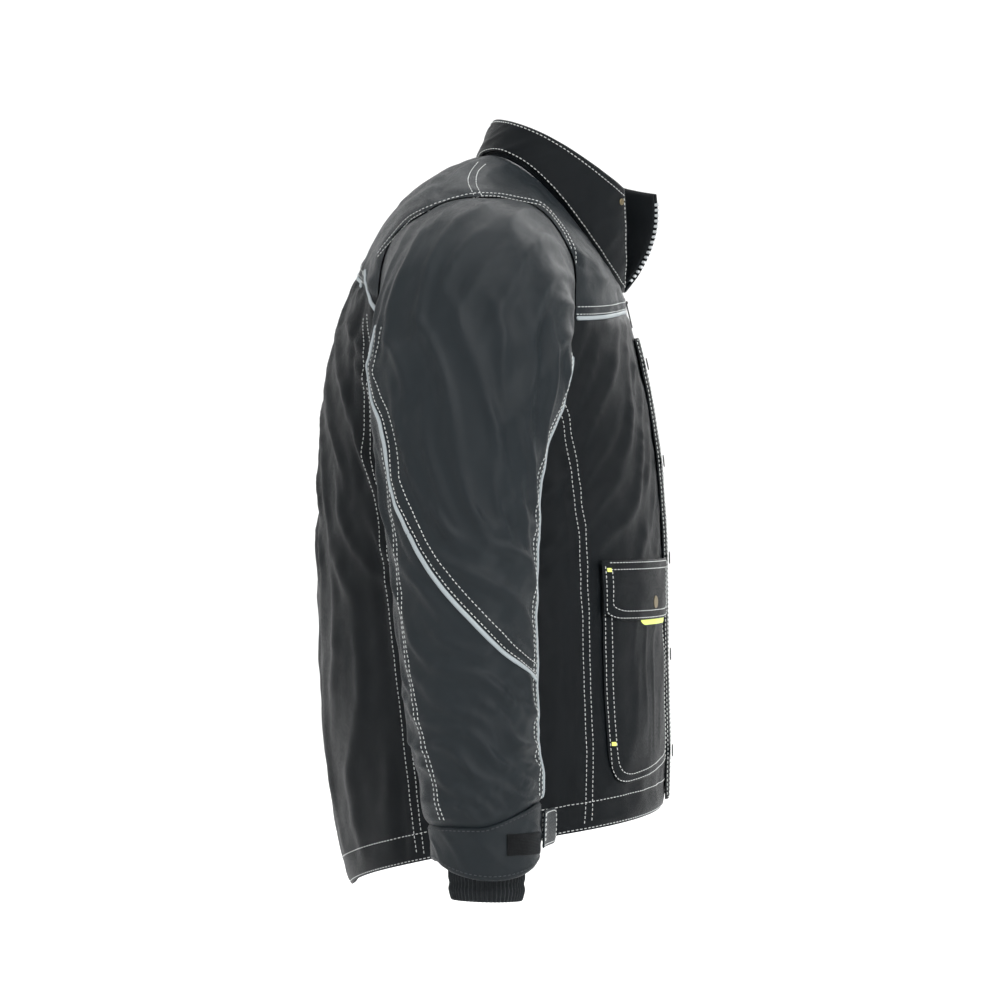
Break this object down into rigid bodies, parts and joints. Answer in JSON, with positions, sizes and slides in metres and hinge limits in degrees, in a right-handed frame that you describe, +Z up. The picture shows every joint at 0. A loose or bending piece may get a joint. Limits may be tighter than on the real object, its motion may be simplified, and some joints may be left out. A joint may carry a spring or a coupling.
{
  "type": "insulated work coat",
  "caption": "Hip-length insulated work coat with stand-up collar, front zip under a storm flap, piped yokes, flap pockets, set-in sleeves and knitted cuffs, held open as if worn.",
  "frame": {"origin": "where a hook bears on the underside of the hanger loop, inside the back of the neck", "axes": "+Z up towards the collar, -Y the wearer's front, +X the wearer's left"},
  "size_m": [0.766, 0.3695, 0.8018],
  "materials": {
    "shell": "woven, slight satin",
    "shell_dark": "woven, slight satin",
    "lining": "quilted taffeta",
    "wadding": "fibre batt",
    "rib": "knitted rib",
    "tape": "woven tape",
    "piping": "reflective grey",
    "pull_tab": "high visibility yellow",
    "loop_patch": "hook and loop pile",
    "zip_plastic": "moulded",
    "zip_metal": "black enamel",
    "stud": "antique"
  },
  "bodies": {
    "coat": {"front_panel_left": "shell", "side_panel_left": "shell", "front_yoke_left": "shell", "wadding_front_left": "wadding", "lining_front_left": "lining", "zip_tape_left": "tape", "zip_teeth_left": "zip_plastic", "pocket_left": "shell_dark", "sleeve_head_left": "shell", "front_panel_right": "shell", "side_panel_right": "shell", "front_yoke_right": "shell", "wadding_front_right": "wadding", "lining_front_right": "lining", "zip_tape_right": "tape", "zip_teeth_right": "zip_plastic", "pocket_right": "shell_dark", "sleeve_head_right": "shell", "back_panel": "shell", "back_yoke": "shell", "wadding_back": "wadding", "lining_back": "lining", "collar": "shell_dark", "collar_lining": "lining", "zip_box": "zip_plastic", "storm_band": "shell_dark", "front_studs": "stud", "pocket_studs": "stud", "hanger_loop": "tape", "yoke_piping": "piping"},
    "left_upper_sleeve": {"upper_sleeve_outer_left": "shell", "upper_sleeve_under_left": "shell", "sleeve_elbow_left": "shell"},
    "left_forearm": {"forearm_outer_left": "shell", "forearm_under_left": "shell", "forearm_wadding_left": "wadding", "cuff_left": "shell", "cuff_patch_left": "loop_patch", "rib_cuff_left": "rib"},
    "left_cuff_tab": {"cuff_tab_left": "shell"},
    "left_pocket_flap": {"pocket_flap_left": "shell_dark", "flap_pull_left": "pull_tab", "flap_cap_left": "stud"},
    "right_upper_sleeve": {"upper_sleeve_outer_right": "shell", "upper_sleeve_under_right": "shell", "sleeve_elbow_right": "shell"},
    "right_forearm": {"forearm_outer_right": "shell", "forearm_under_right": "shell", "forearm_wadding_right": "wadding", "cuff_right": "shell", "cuff_patch_right": "loop_patch", "rib_cuff_right": "rib"},
    "right_cuff_tab": {"cuff_tab_right": "shell"},
    "right_pocket_flap": {"pocket_flap_right": "shell_dark", "flap_pull_right": "pull_tab", "flap_cap_right": "stud"},
    "storm_flap": {"storm_flap": "shell_dark", "storm_caps": "stud"},
    "slider": {"zip_slider": "zip_metal"},
    "pull": {"zip_pull": "zip_metal"}
  },
  "joints": [
    {"name": "left_shoulder_raise", "type": "hinge", "parent": "coat", "child": "left_upper_sleeve", "pos_m": [0.228, 0.012, -0.105], "axis": [0, -1, 0], "range_deg": [0, 45], "deforming": ["sleeve_head_left"]},
    {"name": "left_elbow_bend", "type": "hinge", "parent": "left_upper_sleeve", "child": "left_forearm", "pos_m": [0.318, 0, -0.44], "axis": [-1, 0, 0], "range_deg": [0, 60], "deforming": ["sleeve_elbow_left"]},
    {"name": "left_cuff_tab_turn", "type": "hinge", "parent": "left_forearm", "child": "left_cuff_tab", "pos_m": [0.33424, -0.07375, -0.65007], "axis": [-0.0276, -0.0117, 0.9995], "range_deg": [0, 150]},
    {"name": "left_pocket_flap_lift", "type": "hinge", "parent": "coat", "child": "left_pocket_flap", "pos_m": [0.12624, -0.16941, -0.39988], "axis": [-0.9217, -0.3879, 0], "range_deg": [0, 120]},
    {"name": "right_shoulder_raise", "type": "hinge", "parent": "coat", "child": "right_upper_sleeve", "pos_m": [-0.228, 0.012, -0.105], "axis": [0, 1, 0], "range_deg": [0, 45], "deforming": ["sleeve_head_right"]},
    {"name": "right_elbow_bend", "type": "hinge", "parent": "right_upper_sleeve", "child": "right_forearm", "pos_m": [-0.318, 0, -0.44], "axis": [-1, 0, 0], "range_deg": [0, 60], "deforming": ["sleeve_elbow_right"]},
    {"name": "right_cuff_tab_turn", "type": "hinge", "parent": "right_forearm", "child": "right_cuff_tab", "pos_m": [-0.33424, -0.07375, -0.65007], "axis": [-0.0276, 0.0117, -0.9995], "range_deg": [0, 150]},
    {"name": "right_pocket_flap_lift", "type": "hinge", "parent": "coat", "child": "right_pocket_flap", "pos_m": [-0.12624, -0.16941, -0.39988], "axis": [-0.9217, 0.3879, 0], "range_deg": [0, 120]},
    {"name": "storm_flap_turn", "type": "hinge", "parent": "coat", "child": "storm_flap", "pos_m": [0.032, -0.19261, -0.65003], "axis": [0, 0.0665, 0.9978], "range_deg": [0, 70]},
    {"name": "slider_travel", "type": "slide", "parent": "coat", "child": "slider", "axis": [0, -0.2306, -0.973], "range_m": [0, 0.09], "deforming": ["zip_teeth_left", "zip_teeth_right"]},
    {"name": "pull_swing", "type": "hinge", "parent": "slider", "child": "pull", "pos_m": [0, -0.14443, -0.13353], "axis": [-1, 0, 0], "range_deg": [0, 120]}
  ]
}
